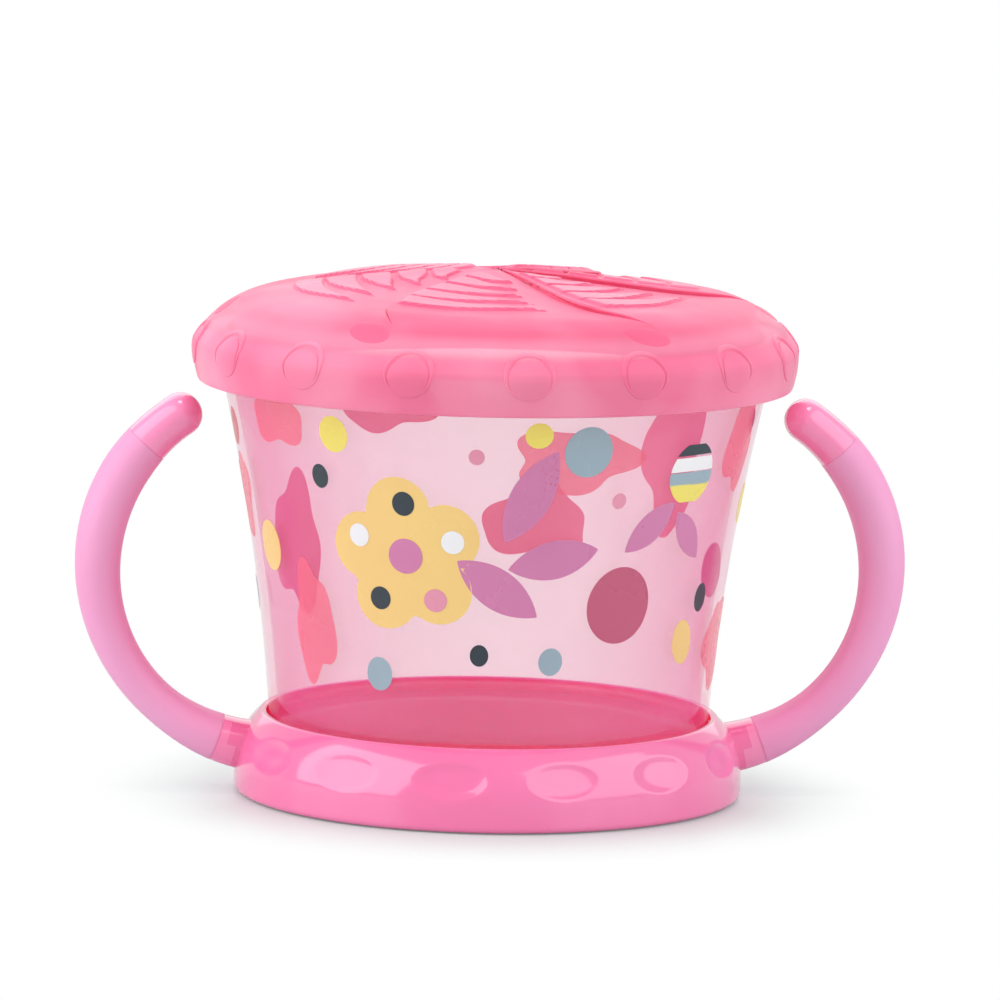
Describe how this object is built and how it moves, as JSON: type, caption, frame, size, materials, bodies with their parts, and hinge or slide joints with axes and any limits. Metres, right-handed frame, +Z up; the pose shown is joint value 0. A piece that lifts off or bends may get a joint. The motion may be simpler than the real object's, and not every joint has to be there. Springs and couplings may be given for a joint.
{
  "type": "snack container",
  "caption": "Flared translucent snack cup standing in a handled base, under a soft domed lid whose curved flaps let a small hand in.",
  "frame": {"origin": "centre of the base's underside, on the surface that the cup stands on", "axes": "+Z up along the cup's axis, +X towards the right handle as seen from the front, -Y towards the front"},
  "size_m": [0.1386, 0.1012, 0.0877],
  "materials": {
    "base": "glossy opaque pink moulding",
    "grip": "matt soft-touch pink overmould",
    "cup": "clear tinted pink, printed with plain motifs",
    "lid": "translucent soft pink, satin gloss"
  },
  "bodies": {
    "base": {"base": "base", "left_grip": "grip", "right_grip": "grip"},
    "cup": {"cup": "cup"},
    "lid": {"lid_rim": "lid"},
    "flap_1": {"flap_1": "lid"},
    "flap_2": {"flap_2": "lid"},
    "flap_3": {"flap_3": "lid"},
    "flap_4": {"flap_4": "lid"},
    "flap_5": {"flap_5": "lid"},
    "flap_6": {"flap_6": "lid"}
  },
  "joints": [
    {"name": "cup_lift", "type": "slide", "parent": "base", "child": "cup", "axis": [0, 0, 1], "range_m": [0, 0.03]},
    {"name": "lid_lift", "type": "slide", "parent": "cup", "child": "lid", "axis": [0, 0, 1], "range_m": [0, 0.03]},
    {"name": "flap_1_fold", "type": "hinge", "parent": "lid", "child": "flap_1", "pos_m": [0.00161, -0.03346, 0.0826], "axis": [-0.9988, -0.0481, 0], "range_deg": [-30, 60], "stiffness_Nm_per_rad": 0.02},
    {"name": "flap_2_fold", "type": "hinge", "parent": "lid", "child": "flap_2", "pos_m": [0.02979, -0.01534, 0.0826], "axis": [-0.4578, -0.8891, 0], "range_deg": [-30, 60], "stiffness_Nm_per_rad": 0.02},
    {"name": "flap_3_fold", "type": "hinge", "parent": "lid", "child": "flap_3", "pos_m": [0.02817, 0.01813, 0.0826], "axis": [0.5411, -0.841, 0], "range_deg": [-30, 60], "stiffness_Nm_per_rad": 0.02},
    {"name": "flap_4_fold", "type": "hinge", "parent": "lid", "child": "flap_4", "pos_m": [-0.00161, 0.03346, 0.0826], "axis": [0.9988, 0.0481, 0], "range_deg": [-30, 60], "stiffness_Nm_per_rad": 0.02},
    {"name": "flap_5_fold", "type": "hinge", "parent": "lid", "child": "flap_5", "pos_m": [-0.02979, 0.01534, 0.0826], "axis": [0.4578, 0.8891, 0], "range_deg": [-30, 60], "stiffness_Nm_per_rad": 0.02},
    {"name": "flap_6_fold", "type": "hinge", "parent": "lid", "child": "flap_6", "pos_m": [-0.02817, -0.01813, 0.0826], "axis": [-0.5411, 0.841, 0], "range_deg": [-30, 60], "stiffness_Nm_per_rad": 0.02}
  ]
}
